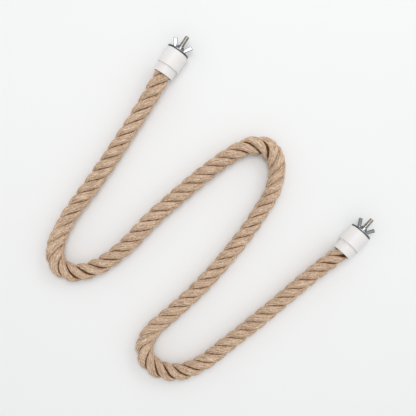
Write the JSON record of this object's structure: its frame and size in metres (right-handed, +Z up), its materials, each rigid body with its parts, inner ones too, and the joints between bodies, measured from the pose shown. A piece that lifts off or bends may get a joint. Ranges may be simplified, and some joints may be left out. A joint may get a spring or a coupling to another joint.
{
  "type": "bendable rope bird perch",
  "caption": "Bendable rope perch laid in a zigzag, with a plastic cap, washers and a wing nut at each end to clamp it to cage bars.",
  "frame": {"origin": "on the surface that the perch lies on, at the centre of its box seen from above", "axes": "+Z up from that surface; +X to the right and +Y to the top of the perch as it lies, with both bolts pointing to +X and +Y"},
  "size_m": [0.4036, 0.4222, 0.0295],
  "materials": {
    "rope_fibre": "laid jute, dull and hairy",
    "core_steel": "drawn wire",
    "sleeve_plastic": "off-white, semi-gloss",
    "cap_plastic": "off-white, semi-gloss",
    "bolt_zinc": "zinc-plated",
    "washer_zinc": "zinc-plated, stamped",
    "wing_nut_zinc": "zinc-plated, cold-formed"
  },
  "bodies": {
    "perch": {"rope": "rope_fibre", "core_wire": "core_steel", "sleeve_1": "sleeve_plastic", "cap_1": "cap_plastic", "bolt_1": "bolt_zinc", "head_washer_1": "washer_zinc", "cap_washer_1": "washer_zinc", "sleeve_2": "sleeve_plastic", "cap_2": "cap_plastic", "bolt_2": "bolt_zinc", "head_washer_2": "washer_zinc", "cap_washer_2": "washer_zinc"},
    "clamp_washer_1": {"nut_washer_1": "washer_zinc"},
    "clamp_nut_1": {"wing_nut_1": "wing_nut_zinc"},
    "clamp_washer_2": {"nut_washer_2": "washer_zinc"},
    "clamp_nut_2": {"wing_nut_2": "wing_nut_zinc"}
  },
  "joints": [
    {"name": "nut_1_travel", "type": "slide", "parent": "perch", "child": "clamp_washer_1", "axis": [0.5519, 0.8339, 0], "range_m": [0, 0.013]},
    {"name": "nut_1_spin", "type": "hinge", "parent": "clamp_washer_1", "child": "clamp_nut_1", "pos_m": [-0.04229, 0.19202, 0.01475], "axis": [0.5519, 0.8339, 0], "range_deg": [0, 4680]},
    {"name": "nut_2_travel", "type": "slide", "parent": "perch", "child": "clamp_washer_2", "axis": [0.6756, 0.7373, 0], "range_m": [0, 0.013]},
    {"name": "nut_2_spin", "type": "hinge", "parent": "clamp_washer_2", "child": "clamp_nut_2", "pos_m": [0.18365, -0.02669, 0.01475], "axis": [0.6756, 0.7373, 0], "range_deg": [0, 4680]}
  ],
  "couplings": [
    {"joint": "nut_1_travel", "follows": "nut_1_spin", "m_per_rad": 0.00015915},
    {"joint": "nut_2_travel", "follows": "nut_2_spin", "m_per_rad": 0.00015915}
  ]
}
